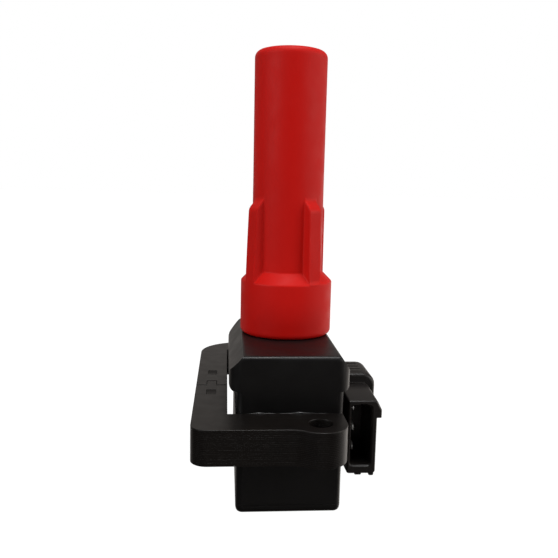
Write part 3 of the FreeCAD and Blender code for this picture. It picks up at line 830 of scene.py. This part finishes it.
def build_spring(material):
    """Contact spring: open coils between closed ends, from the resistor to its tip."""
    low, high = mm_box("contact_spring")
    wire, radius = 0.45, 3.0
    turns, per_turn, around = 13.0, 40, 10
    closed, closed_pitch, open_pitch = 1.0, 0.9, 3.79
    whole_rise = 2 * closed * closed_pitch + (turns - 2 * closed) * open_pitch
    count = int(turns * per_turn)
    bm = bmesh.new()
    rings = []
    bottom, top = low.z + wire, high.z - wire
    for i in range(count + 1):
        turn = turns * i / count
        rise = min(turn, closed) * closed_pitch
        rise += max(0, min(turn, turns - closed) - closed) * open_pitch
        rise += max(0, turn - (turns - closed)) * closed_pitch
        height = bottom + rise * (top - bottom) / whole_rise
        angle = 2 * math.pi * turn
        centre = Vector((radius * math.cos(angle), radius * math.sin(angle), height))
        out = Vector((math.cos(angle), math.sin(angle), 0))
        ring = []
        for k in range(around):
            spin = 2 * math.pi * k / around
            lift = Vector((0, 0, wire * math.sin(spin)))
            ring.append(bm.verts.new(centre + out * wire * math.cos(spin) + lift))
        rings.append(ring)
    for one, two in zip(rings, rings[1:]):
        for i in range(around):
            j = (i + 1) % around
            bm.faces.new((one[i], one[j], two[j], two[i]))
    bm.faces.new(rings[0])
    bm.faces.new(rings[-1])
    piece = finish_mesh("spring_coils", bm, 60)
    place_piece(piece, "root", material, ["contact_spring"])
    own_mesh(piece)


def build_spring_tip(material):
    low, high = mm_box("contact_spring_tip")
    piece = lathe("spring_cap", [(0, low.z, 0), (3.3, low.z, 0.3), (3.45, low.z + 0.7, 0.1),
                                 (3.2, low.z + 1.2, 0.1), (3.2, high.z - 0.9, 0.7), (2.0, high.z, 0.4),
                                 (0, high.z - 0.25, 0)], 64)
    return place_piece(piece, "spring_tip", material, ["contact_spring_tip"])


# ---- studio ----

def aim(item, target):
    item.rotation_mode = "QUATERNION"
    item.rotation_quaternion = (Vector(target) - item.location).to_track_quat("-Z", "Y")


def soft_light(name, place, target, size, power, mirrored=True):
    """An area light; one that is not mirrored lights surfaces but leaves no reflection of itself."""
    light = bpy.data.lights.new(name, "AREA")
    light.shape = "RECTANGLE"
    light.size, light.size_y = size
    light.energy = power
    item = bpy.data.objects.new(name, light)
    bpy.context.scene.collection.objects.link(item)
    item.location = place
    item.visible_glossy = mirrored
    aim(item, target)


def world_glow(nodes, links, place, axis, start, end, low, high):
    """Brightness that rises from low to high as the direction turns towards an axis."""
    facing = nodes.new("ShaderNodeVectorMath")
    facing.operation = "DOT_PRODUCT"
    facing.inputs[1].default_value = axis
    links.new(place.outputs["Generated"], facing.inputs[0])
    glow = nodes.new("ShaderNodeMapRange")
    glow.interpolation_type = "SMOOTHSTEP"
    glow.inputs["From Min"].default_value = start
    glow.inputs["From Max"].default_value = end
    glow.inputs["To Min"].default_value = low
    glow.inputs["To Max"].default_value = high
    links.new(facing.outputs["Value"], glow.inputs["Value"])
    return glow.outputs["Result"]


def build_room():
    """Warm world light: faint in front of the coil, brighter behind it, brightest on its right.

    The camera sees plain white instead.
    """
    world = bpy.data.worlds.new("studio")
    bpy.context.scene.world = world
    world.use_nodes = True
    nodes, links = world.node_tree.nodes, world.node_tree.links
    nodes.clear()
    place = nodes.new("ShaderNodeTexCoord")
    glows = [world_glow(nodes, links, place, (0.35, 0.93, 0.0), 0.0, 0.4, 0.03, 0.42),
             world_glow(nodes, links, place, (0.98, -0.1, 0.15), 0.88, 0.98, 0.0, 3.2),
             world_glow(nodes, links, place, (0.62, 0.68, -0.38), 0.8, 0.95, 0.0, 1.4),
             world_glow(nodes, links, place, (0.1, -0.93, -0.35), 0.8, 0.97, 0.0, 0.17)]
    total = glows[0]
    for glow in glows[1:]:
        both = nodes.new("ShaderNodeMath")
        links.new(total, both.inputs[0])
        links.new(glow, both.inputs[1])
        total = both.outputs["Value"]
    around = nodes.new("ShaderNodeBackground")
    around.inputs["Color"].default_value = (1.0, 0.93, 0.87, 1)
    links.new(total, around.inputs["Strength"])
    seen = nodes.new("ShaderNodeBackground")
    seen.inputs["Strength"].default_value = 1.0
    seen.inputs["Color"].default_value = (1, 1, 1, 1)
    mix = nodes.new("ShaderNodeMixShader")
    path = nodes.new("ShaderNodeLightPath")
    links.new(path.outputs["Is Camera Ray"], mix.inputs["Fac"])
    links.new(around.outputs["Background"], mix.inputs[1])
    links.new(seen.outputs["Background"], mix.inputs[2])
    output = nodes.new("ShaderNodeOutputWorld")
    links.new(mix.outputs["Shader"], output.inputs["Surface"])


def build_studio():
    """White sweep, soft lights above and in front, and the room's own light."""
    build_room()
    soft_light("left", (-0.88, -0.55, 0.50), (0, 0, 0.07), (0.6, 0.6), 9.4)
    soft_light("right", (0.88, -0.55, 0.50), (0, 0, 0.07), (0.6, 0.6), 5.7)
    soft_light("bounce", (-0.05, -0.75, -0.28), (0, 0, 0.08), (0.6, 0.3), 2.3, False)
    soft_light("top", (0.03, -0.12, 0.95), (0, 0, 0.05), (0.45, 0.3), 8)
    build_floor()
    bpy.context.scene.view_settings.view_transform = "Standard"


def build_floor():
    """A white sweep that glows evenly, so that it shows no horizon."""
    bm = bmesh.new()
    bmesh.ops.create_grid(bm, x_segments=8, y_segments=8, size=6000)
    piece = finish_mesh("floor", bm)
    surface = Surface("floor_paper", (0.06, 0.06, 0.06), 0.9, specular=0.0)
    surface.set("Emission Color", (1, 1, 1, 1))
    surface.set("Emission Strength", 1.0)
    surface.bump(surface.noise(40, 3), 0.02, 0.3)
    dress(piece, surface.material)
    piece.visible_glossy = False
    piece.visible_diffuse = False
    piece.visible_shadow = False


def build_camera():
    """A camera a little left of the coil and above its head, turned and tipped towards it."""
    yaw, pitch, roll = (math.radians(angle) for angle in (4.644, 8.018, 1.276))
    forward = Vector((math.sin(yaw) * math.cos(pitch), math.cos(yaw) * math.cos(pitch), -math.sin(pitch)))
    level = Vector((math.cos(yaw), -math.sin(yaw), 0))
    upward = level.cross(forward)
    right = level * math.cos(roll) + upward * math.sin(roll)
    above = upward * math.cos(roll) - level * math.sin(roll)
    data = bpy.data.cameras.new("camera")
    data.sensor_width = 36
    data.lens = 42.77
    data.clip_start = 0.01
    camera = bpy.data.objects.new("camera", data)
    bpy.context.scene.collection.objects.link(camera)
    turn = Matrix((right, above, -forward)).transposed()
    place = Vector((-19.376, -210.043, 92.306)) * MM
    camera.matrix_world = Matrix.Translation(place) @ turn.to_4x4()
    bpy.context.scene.camera = camera


def main():
    build_camera()
    build_studio()
    black = moulded_black("case_black")
    steel = coated_steel()
    spring_steel = metal("spring_wire", (0.58, 0.57, 0.55), 0.28)
    tin = metal("tin_plate", (0.78, 0.77, 0.75), 0.4, metallic=0.35)
    copper = wound_wire("primary_copper", (0.62, 0.24, 0.1), 259.4)
    fine_copper = wound_wire("secondary_copper", (0.5, 0.16, 0.06), 843)
    build_case(black)
    build_core(True, steel)
    build_core(False, steel)
    build_sealant(glossy_bead())
    build_boot(red_silicone())
    build_socket(moulded_black("socket_black", (0.0056, 0.0046, 0.0042), 0.4, 0.008))
    for node in ("terminal_ground", "terminal_signal", "terminal_power"):
        build_blade(node, tin)
    build_spring(spring_steel)
    build_spring_tip(spring_steel)
    keep_node("potting_fill", cast_resin())
    keep_node("centre_core", laid_sheets("centre_core_steel", (0.42, 0.41, 0.4)))
    keep_node("core_magnet", metal("nickel_plate", (0.6, 0.58, 0.54), 0.22))
    keep_node("core_sleeve", pale_insulator("sleeve_paper", (0.5, 0.38, 0.2), 0.7))
    keep_node("primary_bobbin", moulded_black("bobbin_black", (0.02, 0.02, 0.021), 0.4))
    keep_node("secondary_bobbin", pale_insulator("bobbin_natural", (0.6, 0.55, 0.42), 0.4))
    keep_node("primary_winding", copper)
    for i in range(1, 7):
        keep_node(f"secondary_winding_{i}", fine_copper)
    keep_node("primary_lead_start", metal("lead_copper", (0.62, 0.24, 0.1), 0.3))
    keep_node("primary_lead_end", metal("lead_copper_end", (0.62, 0.24, 0.1), 0.3))
    keep_node("hv_diode", moulded_black("diode_black", (0.01, 0.01, 0.011), 0.3))
    for node in ("hv_lead_in", "hv_lead_out"):
        keep_node(node, tin)
    keep_node("hv_terminal", metal("terminal_brass", (0.72, 0.52, 0.22), 0.3))
    keep_node("suppression_resistor", pale_insulator("resistor_glaze", (0.62, 0.56, 0.46), 0.25))
    keep_node("igniter_heat_spreader", metal("spreader_aluminium", (0.7, 0.7, 0.71), 0.4, (1, 0.05, 1)))
    keep_node("igniter_module", moulded_black("module_black", (0.012, 0.012, 0.012), 0.5))


main()
